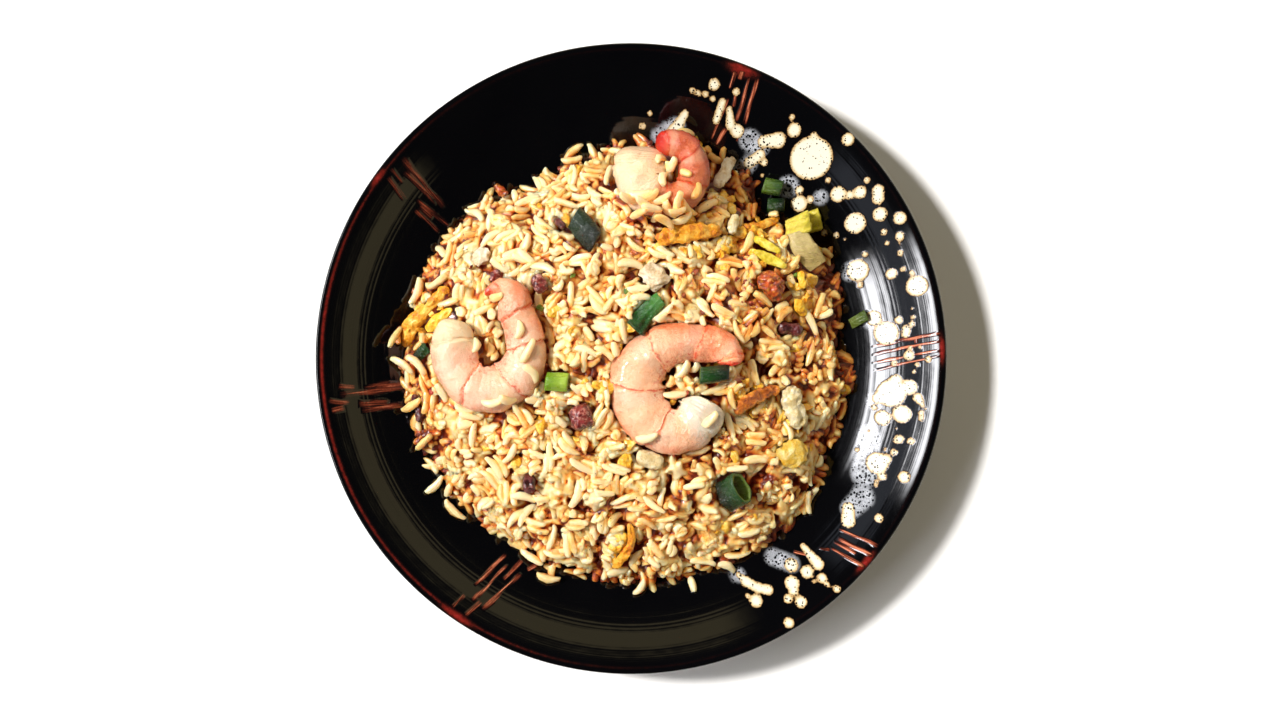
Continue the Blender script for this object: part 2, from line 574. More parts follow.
def prawn_finish(name, flesh, blush, red, pale_from, pale, tail_to):
    """Cooked prawn flesh. pale_from is where the pale head end begins, tail_to where the red tail stops."""
    skin = Finish(name, {
        "Subsurface Weight": 0.8, "Subsurface Radius": (1.0, 0.36, 0.2), "Subsurface Scale": 0.0036,
        "Specular IOR Level": 0.9, "Coat Weight": 0.25, "Coat Roughness": 0.12})
    place = skin.place()
    along = skin.value("along")
    back = skin.value("back")
    soft = skin.noise(place, 0.14, 3.0)
    fine = skin.noise(place, 0.8, 4.0, 0.6)
    tiny = skin.noise(place, 2.4, 3.0, 0.6)
    wander = along * PRAWN_RINGS + back * 0.12 + (soft - 0.5) * 0.22 + (fine - 0.5) * 0.05
    ring = wander.math("FRACT", wander)
    off = (ring - 0.5).math("ABSOLUTE", ring - 0.5)
    share = along.step(0.46, 0.24) * 0.5 + soft.step(0.35, 0.75) * 0.3 + back.step(0.4, 1.05) * 0.4
    share = share + (fine - 0.5) * 0.9 + (tiny - 0.5) * 0.5
    colour = skin.mix(share.step(0.0, 1.0), flesh, blush)
    colour = skin.mix(ring.step(0.5, 0.62) * ring.step(0.98, 0.70) * 0.25, colour, pale)
    line = off.step(0.036, 0.008) * fine.step(0.34, 0.54)
    near = off.step(0.20, 0.02) * (fine + tiny * 0.5).step(0.78, 0.98)
    inner = back + 0.62 + (soft - 0.5) * 0.5
    vein = inner.math("ABSOLUTE", inner).step(0.10, 0.0) * (fine + tiny * 0.4).step(0.66, 0.86)
    side = back.step(-0.45, -1.0) * (soft * 0.5 + fine).step(0.62, 0.9) * 0.8
    marks = line.math("MAXIMUM", line, near * 0.65)
    marks = marks.math("MAXIMUM", marks, vein)
    marks = marks.math("MAXIMUM", marks, side)
    marks = marks.math("MAXIMUM", marks, (tiny + soft * 0.5).step(0.98, 1.10) * 0.4)
    colour = skin.mix(marks * 0.72, colour, red)
    colour = skin.mix((along + (fine - 0.5) * 0.06).step(pale_from - 0.02, pale_from + 0.05), colour, pale)
    colour = skin.mix((along + (fine - 0.5) * 0.08).step(tail_to, tail_to * 0.35), colour, red)
    skin.wear("Base Color", colour)
    skin.wear("Roughness", 0.10 + fine * 0.22)
    skin.relief(fine * 0.6 + tiny * 0.3 - off.step(0.06, 0.0) * 0.6, 0.9)
    return skin.material


PRAWNS = (
    ("prawn_centre",
     ((34.0, -2.6), (33.2, 1.2), (29.6, 4.0), (23.5, 5.0), (15.0, 5.0), (8.2, 2.2), (3.4, -3.6), (2.2, -10.5),
      (4.6, -18.0), (10.4, -22.8), (17.0, -23.4), (22.6, -20.0), (26.0, -13.8)),
     (7, 10.5, 12, 13, 14, 16, 18.5, 19.5, 19, 18.5, 18, 17.5, 16), 13, 1.2, 1, 0.07,
     (paint(252, 190, 148), paint(238, 120, 72), paint(216, 42, 12), 0.86, paint(220, 206, 184), 0.05)),
    ("prawn_left",
     ((-49.8, 21.8), (-44.2, 24.2), (-40.4, 20.8), (-38.4, 14.0), (-36.4, 8.0), (-35.8, 1.4), (-39.0, -5.8),
      (-45.8, -10.0), (-53.5, -9.2), (-59.2, -3.4), (-60.4, 5.7), (-58.4, 13.0)),
     (2.5, 6.5, 11, 12.5, 13, 14, 15.5, 16.5, 16.5, 16, 15.5, 14), 12, 1.4, -1, 0.08,
     (paint(252, 198, 166), paint(240, 138, 94), paint(218, 56, 22), 0.88, paint(240, 212, 170), 0.06)),
    ("prawn_top",
     ((8.4, 74.4), (14.2, 74.6), (19.6, 71.2), (21.6, 64.8), (19.8, 58.0), (14.6, 54.6), (8.2, 55.4), (3.8, 60.4),
      (3.0, 66.6), (3.2, 74.0)),
     (6, 9.5, 10.5, 11, 11.5, 12, 14, 17, 18.5, 18), 12, 2.4, -1, 0.075,
     (paint(208, 104, 50), paint(178, 62, 22), paint(190, 26, 8), 0.66, paint(240, 202, 164), 0.12)),
)
toppings = []
for name, path, widths, thick, lift, belly, end, look in PRAWNS:
    bm = prawn_mesh(name, path, widths, thick, lift, belly, end)
    piece = finished(name + "_flesh", bm, prawn_finish(name + "_skin", *look))
    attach(piece, "root")
    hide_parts(name)
    toppings.append(piece)

# ---------------------------------------------------------------- spring onion and onion
# Spring onion is cut across into short hollow tubes and opened leaves, wilted and glossy with oil.
# A wedge of leek and a slice of onion are stir-fried with it.

TUBE_CUTS = (36, 10)


def tube_mesh(node, length, radius, wall_share, heading, tilt, pinch, ridges):
    """A short hollow length of spring onion in the place of its node. Lengths in millimetres."""
    low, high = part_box(node)
    middle = (low + high) / 2 / MM
    aim = Vector((math.cos(math.radians(heading)), math.sin(math.radians(heading)),
                  math.tan(math.radians(tilt)))).normalized()
    side = Vector((0, 0, 1)).cross(aim).normalized()
    over = aim.cross(side)
    bm = bmesh.new()
    along_layer = bm.verts.layers.float.new("along")
    inner_layer = bm.verts.layers.float.new("inner")
    inner = radius * (1 - wall_share)
    stations = np.linspace(-length / 2, length / 2, TUBE_CUTS[1])
    outline = [(radius, z) for z in stations] + [(inner, z) for z in reversed(stations)]
    corners = [bm.verts.new((r, 0, z)) for r, z in outline]
    edges = [bm.edges.new((corners[k - 1], corners[k])) for k in range(len(corners))]
    bmesh.ops.spin(bm, geom=corners + edges, cent=(0, 0, 0), axis=(0, 0, 1), angle=math.tau,
                   steps=TUBE_CUTS[0], use_merge=True)
    for vert in bm.verts:
        x, y, z = vert.co
        around = math.atan2(y, x)
        is_inner = math.hypot(x, y) < (radius + inner) / 2
        swell = 1 + 0.05 * math.sin(ridges * around) * (not is_inner)
        swell += 0.10 * noise.noise(Vector((x / 2.5, y / 2.5, z / 5 + heading)))
        slant = 0.12 * x * (z / (length / 2))
        vert.co = middle + side * x * swell + over * y * swell * pinch + aim * (z * (1 + slant / 4))
        vert[along_layer] = z / length + 0.5
        vert[inner_layer] = float(is_inner)
    bmesh.ops.recalc_face_normals(bm, faces=bm.faces[:])
    return bm


def green_finish(name, near, far, inner, across):
    """Leaf green, paler towards one end, with fine veins along the leaf and an oily shine."""
    leaf = Finish(name, {
        "Subsurface Weight": 0.15, "Subsurface Radius": (0.5, 1.0, 0.2), "Subsurface Scale": 0.001,
        "Specular IOR Level": 0.5, "Coat Weight": 0.1, "Coat Roughness": 0.12})
    place = leaf.place()
    stretched = leaf.node("Mapping", {}, {"Vector": place, "Rotation": (0, 0, math.radians(-across)),
                                          "Scale": (0.15, 1.4, 1.4)})
    vein = leaf.noise(stretched, 1.6, 3.0)
    blotch = leaf.noise(place, 0.45, 2.0)
    colour = leaf.mix((leaf.value("along") + (blotch - 0.5) * 0.5).step(0.1, 0.9), near, far)
    colour = leaf.mix(vein.step(0.45, 0.75) * 0.5, colour, near)
    colour = leaf.mix(vein.step(0.66, 0.78) * 0.5, colour, paint(206, 214, 168))
    colour = leaf.mix(leaf.value("inner"), colour, inner)
    leaf.wear("Base Color", colour)
    leaf.wear("Roughness", 0.12 + blotch * 0.3)
    leaf.relief(vein * 0.7 + blotch * 0.3, 0.8)
    return leaf.material


LIME, LIME_PALE = paint(128, 156, 28), paint(196, 206, 120)
LEAF, LEAF_DARK, LEAF_INNER = paint(24, 66, 22), paint(8, 26, 12), paint(110, 130, 56)
TUBES = (
    ("spring_onion_tube", 7.6, 3.1, 0.26, -2, 4, 1.0, 7, paint(108, 148, 22), paint(160, 188, 62), paint(206, 214, 140)),
    ("spring_onion_ridged", 9.8, 2.9, 0.26, 6, 0, 0.85, 6, LEAF, LEAF_DARK, LEAF_INNER),
    ("spring_onion_roll", 8.5, 5.6, 0.15, 35, 42, 0.7, 5, LEAF_DARK, LEAF, paint(96, 116, 44)),
    ("spring_onion_upper", 6.6, 2.7, 0.28, -12, 5, 1.0, 8, paint(78, 104, 34), paint(34, 66, 22), LEAF_INNER),
    ("spring_onion_lower", 6.0, 2.4, 0.30, 2, 8, 1.0, 6, paint(34, 62, 22), LEAF_DARK, LEAF_INNER),
)
for name, length, radius, share, heading, tilt, pinch, ridges, near, far, inner in TUBES:
    bm = tube_mesh(name, length, radius, share, heading, tilt, pinch, ridges)
    piece = finished(name + "_cut", bm, green_finish(name + "_green", near, far, inner, heading))
    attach(piece, "root")
    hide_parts(name)
    toppings.append(piece)

SHEET_CUTS = (26, 12)


def sheet_mesh(path, widths, lift, arch, crinkle, thick, skew=0.0):
    """An opened piece of leaf laid over the heap. arch is how far its middle stands over its long edges."""
    bm = bmesh.new()
    along_layer = bm.verts.layers.float.new("along")
    bm.verts.layers.float.new("inner")
    bmesh.ops.create_grid(bm, x_segments=SHEET_CUTS[0], y_segments=SHEET_CUTS[1], size=1.0)
    for vert in bm.verts:
        share, across = 0.5 + 0.5 * vert.co.x, vert.co.y
        (x, y), (dx, dy) = along_path(path, share + 0.06 * across * (1 - vert.co.x**2))
        half = between(widths, share) / 2
        point = Vector((x - dy * across * half, y + dx * across * half, 0))
        point += Vector((dx, dy, 0)) * (skew * across * half)
        ridge = crinkle * noise.noise(Vector((across * 2.6, share * 1.5, lift * 7)))
        height = heap_top(x, y) + lift + arch * (1 - across**2) + ridge
        height += 0.5 * crinkle * noise.noise(Vector((point.x / 2, point.y / 2, 3.0)))
        vert.co = (point.x, point.y, height)
        vert[along_layer] = share
    bmesh.ops.recalc_face_normals(bm, faces=bm.faces[:])
    bm.normal_update()
    if sum(face.normal.z for face in bm.faces) < 0:
        bmesh.ops.reverse_faces(bm, faces=bm.faces[:])
    bmesh.ops.solidify(bm, geom=bm.faces[:], thickness=thick)
    return bm


SHEETS = (
    ("spring_onion_leaf", ((-19.8, 49.0), (-16.1, 44.6), (-12.4, 40.2)), (7.6, 8.8, 8.2), 2.2, 2.2, 0.4, 1.0,
     "spring_onion", (paint(14, 40, 20), paint(5, 16, 10), LEAF_INNER, -50)),
    ("spring_onion_fold", ((10.2, 20.2), (6.2, 16.2), (1.8, 10.2)), (5.0, 6.4, 7.4), 2.2, 1.8, 1.1, 0.8,
     "spring_onion", (paint(62, 122, 46), paint(16, 58, 26), LEAF_INNER, 48)),
    ("spring_onion_dark", ((-75.8, 0.0), (-71.6, 3.8)), (3.6, 4.2), 1.5, 0.8, 0.5, 0.8,
     "spring_onion", (LEAF_DARK, LEAF, LEAF_INNER, 40)),
    ("spring_onion_small", ((78.0, 12.2), (83.4, 15.4)), (3.6, 4.0), 1.8, 0.9, 0.5, 0.8,
     "spring_onion", (paint(96, 110, 44), paint(70, 90, 34), LEAF_INNER, 31)),
    ("leek_wedge", ((54.4, 46.4), (60.0, 47.6), (67.0, 50.0)), (4.2, 7.0, 7.2), 2.2, 0.8, 0.9, 1.2,
     "leek", (paint(226, 204, 84), paint(206, 190, 52), paint(226, 214, 150), 14)),
    ("onion_slice", ((58.0, 44.4), (60.8, 38.0), (65.6, 32.4)), (7.0, 8.8, 6.8), 1.4, 1.0, 0.6, 1.2,
     "leek", (paint(196, 176, 120), paint(176, 152, 92), paint(226, 214, 170), -50)),
)
for name, path, widths, lift, arch, crinkle, thick, slot, look in SHEETS:
    bm = sheet_mesh(path, widths, lift, arch, crinkle, thick, -0.35 if name == "spring_onion_leaf" else 0.1)
    piece = finished(name + "_cut", bm, green_finish(name + "_green", *look))
    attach(piece, "root")
    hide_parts(name)
    toppings.append(piece)

# ---------------------------------------------------------------- egg, sausage and chicken
# Beaten egg is fried first and torn up: yellow folds, browned strips and set white. Cured red sausage is
# diced, with flecks of fat, and white chicken is shredded. Each piece keeps the place of its own node.


def roughened(node, cuts, folds, grit, stretch, seed):
    """A finely divided copy of a node's form with folds and grit worked into it. Sizes in millimetres."""
    bm = bmesh.new()
    bm.from_mesh(frame["nodes"][node].data)
    bmesh.ops.scale(bm, vec=(1 / MM, 1 / MM, 1 / MM), verts=bm.verts[:])
    bmesh.ops.remove_doubles(bm, verts=bm.verts[:], dist=0.01)
    bmesh.ops.subdivide_edges(bm, edges=bm.edges[:], cuts=cuts, use_grid_fill=True)
    for _ in range(5):
        bmesh.ops.smooth_vert(bm, verts=bm.verts[:], factor=0.5, use_axis_x=True, use_axis_y=True, use_axis_z=True)
    bm.normal_update()
    shift = Vector((seed * 7.3, seed * 3.1, 0))
    for vert in bm.verts:
        spot = vert.co + shift
        along = Vector((spot.x * stretch[0], spot.y * stretch[1], spot.z))
        ridge = 1 - 2 * abs(noise.noise(along / 2.6))
        rise = folds * (ridge - 0.55) + grit * noise.noise(spot / 0.9) + folds * 0.8 * noise.noise(along / 5)
        vert.co = vert.co + vert.normal * rise
    bmesh.ops.recalc_face_normals(bm, faces=bm.faces[:])
    return bm


def egg_finish(name, low, middle, high, gloss):
    """Fried egg, mottled between three colours from its folds to its tops."""
    egg = Finish(name, {
        "Subsurface Weight": 0.25, "Subsurface Radius": (1.0, 0.6, 0.2), "Subsurface Scale": 0.0012,
        "Coat Weight": gloss, "Coat Roughness": 0.2})
    place = egg.place()
    mottle = egg.noise(place, 0.28, 4.0, 0.6)
    fine = egg.noise(place, 1.3, 3.0)
    egg.wear("Base Color", egg.ramp(mottle * 0.75 + fine * 0.25, ((0.36, low), (0.5, middle), (0.64, high))))
    egg.wear("Roughness", 0.32 + fine * 0.25)
    egg.relief(fine, 0.5)
    return egg.material


def sausage_finish(name, lean, dark, fat, fat_share):
    """Cured sausage: dark lean meat with small pale flecks of fat, glossy with its own fat."""
    meat = Finish(name, {
        "Subsurface Weight": 0.12, "Subsurface Radius": (1.0, 0.2, 0.1), "Subsurface Scale": 0.001,
        "Coat Weight": 0.5, "Coat Roughness": 0.12})
    place = meat.place()
    lump = meat.noise(place, 0.5, 3.0)
    fleck = meat.node("TexVoronoi", {"feature": "F1"}, {"Vector": place, "Scale": 0.8}, "Distance")
    colour = meat.mix(lump.step(0.35, 0.65), dark, lean)
    streak = (meat.noise(place, 0.8, 3.0, 0.6) * 0.8 + fleck * 0.2).step(0.50, 0.62)
    meat.wear("Base Color", meat.mix(streak * fat_share, colour, fat))
    meat.wear("Roughness", 0.25 + lump * 0.3)
    meat.relief(lump * 0.5 + fleck * 0.5, 0.5)
    return meat.material


egg_yellow = egg_finish("egg_yellow", paint(214, 128, 22), paint(248, 190, 40), paint(255, 222, 110), 0.25)
egg_gold = egg_finish("egg_golden", paint(196, 100, 18), paint(238, 160, 32), paint(252, 208, 96), 0.25)
egg_browned = egg_finish("egg_browned", paint(116, 46, 10), paint(188, 98, 20), paint(232, 160, 54), 0.3)
egg_lemon = egg_finish("egg_lemon", paint(196, 164, 24), paint(226, 202, 52), paint(240, 224, 120), 0.35)
egg_set_white = egg_finish("egg_set_white", paint(196, 166, 96), paint(218, 200, 150), paint(228, 218, 190), 0.5)
egg_spotted = egg_finish("egg_spotted", paint(214, 156, 26), paint(218, 182, 76), paint(226, 204, 140), 0.4)
shredded = egg_finish("chicken_shreds", paint(200, 164, 116), paint(226, 204, 170), paint(240, 228, 208), 0.25)
pale_flesh = egg_finish("pale_dice", paint(206, 172, 108), paint(222, 200, 148), paint(230, 216, 184), 0.4)
cured = sausage_finish("sausage_cured", paint(134, 38, 34), paint(66, 10, 14), paint(214, 150, 130), 0.5)
cured_dark = sausage_finish("sausage_dark_cured", paint(92, 22, 24), paint(44, 8, 12), paint(170, 110, 100), 0.4)
charred = sausage_finish("sausage_charred", paint(184, 74, 22), paint(110, 34, 12), paint(226, 150, 60), 0.5)

TORN = (
    ("egg_left_long", egg_gold, "fried_egg", 0.9, 0.25, (1, 1)), ("egg_left_short", egg_yellow, "fried_egg", 0.6, 0.2, (1, 1)),
    ("egg_sheet", egg_gold, "fried_egg", 1.1, 0.3, (1, 1)), ("egg_curl", egg_gold, "fried_egg", 0.7, 0.25, (1, 1)),
    ("egg_strip_upper", egg_lemon, "fried_egg", 0.3, 0.1, (1, 1)),
    ("egg_strip_lower", egg_lemon, "fried_egg", 0.3, 0.1, (1, 1)),
    ("egg_brown_strip", egg_browned, "fried_egg", 1.0, 0.35, (1, 1)),
    ("egg_chunk", egg_spotted, "egg_white", 1.0, 0.25, (1, 1)), ("egg_strip_bottom", egg_gold, "fried_egg", 0.6, 0.25, (1, 1)),
    ("egg_bright_upper", egg_yellow, "fried_egg", 0.4, 0.1, (1, 1)),
    ("egg_bright_lower", egg_yellow, "fried_egg", 0.4, 0.1, (1, 1)),
    ("egg_white_clump", egg_set_white, "egg_white", 1.2, 0.3, (1, 1)),
    ("egg_white_bit", egg_set_white, "egg_white", 0.6, 0.2, (1, 1)),
    ("chicken_flake", shredded, "chicken", 0.9, 0.35, (0.4, 1.4)), ("chicken_shred", shredded, "chicken", 0.8, 0.3, (1.6, 0.5)),
    ("chicken_left", shredded, "chicken", 0.7, 0.3, (1, 1)), ("pale_block", pale_flesh, "chicken", 0.5, 0.15, (1, 1)),
    ("sausage_cube", cured, "sausage", 0.7, 0.2, (1, 1)), ("sausage_dark", cured_dark, "sausage", 0.6, 0.2, (1, 1)),
    ("sausage_crumple", charred, "sausage", 1.3, 0.4, (1, 1)), ("sausage_by_prawn", cured, "sausage", 0.6, 0.2, (1, 1)),
    ("sausage_purple", cured_dark, "sausage", 0.8, 0.2, (1, 1)), ("sausage_strip_top", cured_dark, "sausage", 0.5, 0.2, (1, 1)),
    ("sausage_strip_left", cured, "sausage", 0.5, 0.2, (1, 1)), ("sausage_edge", cured_dark, "sausage", 0.6, 0.2, (1, 1)),
    ("sausage_flake", charred, "sausage", 0.6, 0.2, (1, 1)),
)
for seed, (name, material, slot, folds, grit, stretch) in enumerate(TORN):
    piece = finished(name + "_torn", roughened(name, 4, folds, grit, stretch, seed), material)
    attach(piece, "root")
    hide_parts(name)
    toppings.append(piece)

# ---------------------------------------------------------------- rice
# Long grains, boiled, then fried with oil and a little soy sauce: plump, slightly curved and partly broken.
# They are dropped one by one: each looks for a low place, lies on what is under it, and raises the heap there.

rng = np.random.default_rng(7)
GRAIN_LENGTH = (7.2, 10.4)
BROKEN_LENGTH = (3.0, 5.8)
GRAIN_WIDTH = (2.2, 3.2)
GRAIN_CUTS = (8, 8)
GRAIN_FORMS = 16
SUPPORTS = np.linspace(-0.5, 0.5, 9)


def grain_forms():
    """Unit grains along X, each with its own bend, ends and ridges, and the faces they share."""
    forms, faces = [], None
    for number in range(GRAIN_FORMS):
        bm = bmesh.new()
        bmesh.ops.create_uvsphere(bm, u_segments=GRAIN_CUTS[0], v_segments=GRAIN_CUTS[1], radius=1.0)
        blunt, sharp = rng.uniform(0.26, 0.6), rng.uniform(0.4, 0.95)
        bend, twist, waist = rng.uniform(-0.16, 0.16), rng.uniform(-0.3, 0.3), rng.uniform(-0.1, 0.14)
        for vert in bm.verts:
            x, y, z = vert.co.z, vert.co.x, vert.co.y
            full = math.sqrt(max(1e-6, 1 - x * x))
            wide = (full ** blunt if x > 0 else full ** sharp) * (1 - 0.14 * x - waist * math.exp(-(x / 0.35) ** 2))
            around = math.atan2(z, y)
            ridge = 1 + 0.09 * math.cos(3 * around + number) + 0.06 * math.cos(5 * around + 2 * number)
            bump = 1 + 0.34 * noise.noise(Vector((x * 2.1, y * 1.4, z * 1.4 + number * 5)))
            y, z = y / full * wide * ridge * bump, z / full * wide * ridge * bump
            vert.co = (x * (1 + 0.05 * y), y + bend * 6 * x * x + twist * 0.5 * x, z)
        bmesh.ops.recalc_face_normals(bm, faces=bm.faces[:])
        forms.append(np.array([vert.co[:] for vert in bm.verts]))
        faces = [[vert.index for vert in face.verts] for face in bm.faces]
        bm.free()
    return forms, faces


unit_grains, grain_faces = grain_forms()
topping_grid = np.full(grid_x.shape, -1.0)
for piece in toppings:
    topping_grid = np.maximum(topping_grid, tops_of(piece))
topping_mask = topping_grid > 0
grains = []


def footprint(x, y, yaw, length, width):
    """The cells under a grain, with each one's place along and across it."""
    reach = length / 2 + GRID
    i = slice(cell_of(x - reach), cell_of(x + reach) + 1)
    j = slice(cell_of(y - reach), cell_of(y + reach) + 1)
    off_x, off_y = grid_x[i, j] - x, grid_y[i, j] - y
    along = off_x * math.cos(yaw) + off_y * math.sin(yaw)
    across = off_y * math.cos(yaw) - off_x * math.sin(yaw)
    round_share = 1 - (2 * along / length) ** 2 - (2 * across / width) ** 2
    return i, j, along, round_share


def rest(x, y, yaw, length, width):
    """Height and pitch at which a grain lies on the two points that carry it."""
    offsets = SUPPORTS * length * 0.86
    heights = np.full(len(offsets), -1.0)
    for shift in (-0.28 * width, 0.0, 0.28 * width):
        i = np.clip(np.rint((x + offsets * math.cos(yaw) - shift * math.sin(yaw) + GRID_REACH) / GRID), 0, len(cells) - 1)
        j = np.clip(np.rint((y + offsets * math.sin(yaw) + shift * math.cos(yaw) + GRID_REACH) / GRID), 0, len(cells) - 1)
        heights = np.maximum(heights, top_grid[i.astype(int), j.astype(int)])
    left, right = offsets <= 0, offsets > 0
    a, b = offsets[left][:, None], offsets[right][None, :]
    ha, hb = heights[left][:, None], heights[right][None, :]
    middles = (ha * b - hb * a) / (b - a)
    place = np.unravel_index(np.argmax(middles), middles.shape)
    slope = ((hb - ha) / (b - a))[place]
    return float(middles[place]), math.atan(float(slope))


def drop_grain(x, y, yaw, length, width, sink, jitter, kind, keep_clear=0.15):
    """Lays one grain down, unless it would hide a topping, and raises the grid under it."""
    i, j, along, round_share = footprint(x, y, yaw, length, width)
    under = round_share > 0
    if topping_mask[i, j][under].mean() > keep_clear:
        return False
    height, pitch = rest(x, y, yaw, length, width)
    pitch = max(-0.75, min(0.75, pitch)) + rng.normal(0, jitter)
    tall = width * 0.40
    middle = height + tall - sink
    slope = math.tan(max(-1.2, min(1.2, pitch)))
    rise = middle + slope * along + tall * np.sqrt(np.clip(round_share, 0, 1))
    target = heap_grid[cell_of(x), cell_of(y)]
    if kind != "stray" and float(rise[under].max()) > max(target, 6) + 2.6:
        return False
    top_grid[i, j] = np.where(under, np.maximum(top_grid[i, j], rise), top_grid[i, j])
    grains.append((x, y, middle, yaw, pitch, length * math.cos(min(abs(pitch), 0.5)) ** -0.3, width,
                   target - middle, kind))
    return True


def heap_targets():
    """Cells of the heap that aren't under a topping, and the height the rice comes to there, with small hollows."""
    inside = np.argwhere(heap_mask & ~topping_mask)
    hollow = []
    for i, j in inside:
        x, y = cells[i], cells[j]
        clump = noise.noise(Vector((x / 8, y / 8, 6.0))) + 0.55 * noise.noise(Vector((x / 4, y / 4, 9.0)))
        hollow.append(min((clump + 0.04) * min(max(8.0 + 0.07 * (x - y), 4.0), 15.0), 1.2))
    target = heap_grid.copy()
    target[inside[:, 0], inside[:, 1]] += np.array(hollow)
    return inside, target


def grain_size():
    length = rng.uniform(*(BROKEN_LENGTH if rng.random() < 0.34 else GRAIN_LENGTH))
    return length, rng.uniform(*GRAIN_WIDTH) * (0.86 + 0.14 * length / GRAIN_LENGTH[1])


# Torn scraps among the grains: x, y, spread, how many, and kind
SCRAPS = (
    (14, 42, 9, 22, "egg"), (28, 43, 5, 9, "egg"), (46, 45, 6, 12, "egg"), (50, 36, 6, 12, "egg"), (60, 24, 5, 10, "egg"),
    (-70, 15, 6, 12, "egg"), (-3, -66, 4, 8, "egg"), (44, -13, 6, 9, "egg"), (56, -18, 5, 8, "egg"), (-10, -10, 3, 4, "egg"),
    (30, 52, 6, 8, "egg"), (-8, -6, 30, 16, "egg"), (0, 8, 66, 70, "egg"), (0, 0, 66, 26, "meat"), (14, 44, 8, 5, "meat"),
    (38, 24, 8, 5, "meat"), (46, -30, 12, 5, "meat"), (30, 10, 50, 9, "green"),
)
SCRAP_SIZES = {"egg": (2.6, 6.4), "meat": (1.6, 3.6), "green": (1.6, 3.2)}
scraps = []


def scatter_scraps():
    for centre_x, centre_y, spread, count, kind in SCRAPS:
        for _ in range(count):
            x, y = centre_x + rng.normal(0, spread * 0.7), centre_y + rng.normal(0, spread * 0.7)
            i, j = cell_of(x), cell_of(y)
            if not heap_mask[i, j] or topping_mask[i, j]:
                continue
            length = rng.uniform(*SCRAP_SIZES[kind])
            width = length * rng.uniform(0.4, 0.8)
            yaw = rng.uniform(0, math.tau)
            height, pitch = rest(x, y, yaw, length, width)
            height = min(height, heap_grid[i, j] - 0.4)
            scraps.append((x, y, height + 0.3, yaw, pitch + rng.normal(0, 0.3), length, width, kind))


STUCK_SHARE = 0.6


def stick_to_last():
    """Adds a grain that is stuck along the side of the last one."""
    x, y, middle, yaw, pitch, length, width, depth, kind = grains[-1]
    reach = rng.choice((-1, 1)) * width * rng.uniform(0.55, 0.8)
    shift = rng.uniform(-0.3, 0.3) * length
    x += shift * math.cos(yaw) - reach * math.sin(yaw)
    y += shift * math.sin(yaw) + reach * math.cos(yaw)
    gi, gj, along, round_share = footprint(x, y, yaw, length, width)
    under = round_share > 0
    if topping_mask[gi, gj][under].mean() > 0.05 or not heap_mask[cell_of(x), cell_of(y)]:
        return
    middle += shift * math.tan(pitch) - rng.uniform(0.0, 0.5)
    rise = middle + math.tan(pitch) * along + width * 0.40 * np.sqrt(np.clip(round_share, 0, 1))
    top_grid[gi, gj] = np.where(under, np.maximum(top_grid[gi, gj], rise), top_grid[gi, gj])
    grains.append((x, y, middle, yaw + rng.normal(0, 0.12), pitch, length * rng.uniform(0.8, 1.0), width, depth, kind))


def bury(count, shallow, deep, loose):
    """Sinks grains below the surface at every place, stuck into one another; loose ones are kept as grains."""
    for i, j in inside[rng.integers(len(inside), size=count)]:
        x, y = cells[i] + rng.uniform(-0.25, 0.25), cells[j] + rng.uniform(-0.25, 0.25)
        yaw = 5 * noise.noise(Vector((x / 11, y / 11, 2.0))) + rng.normal(0, 0.9)
        length, width = grain_size()
        tall = width * 0.40
        middle = max(target[i, j] - tall - rng.uniform(shallow, deep), dish_grid[i, j] + tall + 0.2)
        gi, gj, along, round_share = footprint(x, y, yaw, length, width)
        under = round_share > 0
        if topping_mask[gi, gj][under].mean() > 0.10:
            continue
        ahead = target[cell_of(x + 3 * math.cos(yaw)), cell_of(y + 3 * math.sin(yaw))]
        behind = target[cell_of(x - 3 * math.cos(yaw)), cell_of(y - 3 * math.sin(yaw))]
        pitch = max(-0.6, min(0.6, math.atan((ahead - behind) / 6))) + rng.normal(0, 0.30 if loose else 0.15)
        if middle - math.sin(abs(pitch)) * length / 2 < dish_grid[i, j]:
            pitch *= 0.3
        rise = middle + math.tan(max(-1.1, min(1.1, pitch))) * along + tall * np.sqrt(np.clip(round_share, 0, 1))
        rise = np.minimum(rise, middle + length / 2)
        top_grid[gi, gj] = np.where(under, np.maximum(top_grid[gi, gj], rise), top_grid[gi, gj])
        if loose:
            grains.append((x, y, middle, yaw, pitch, length, width, heap_grid[i, j] - middle, "body"))
            if rng.random() < STUCK_SHARE:
                stick_to_last()


def softened(heights):
    """Heights with each cell drawn halfway to its four neighbours."""
    around = sum(np.roll(heights, step, axis) for axis in (0, 1) for step in (-1, 1)) / 4
    return 0.5 * heights + 0.5 * around


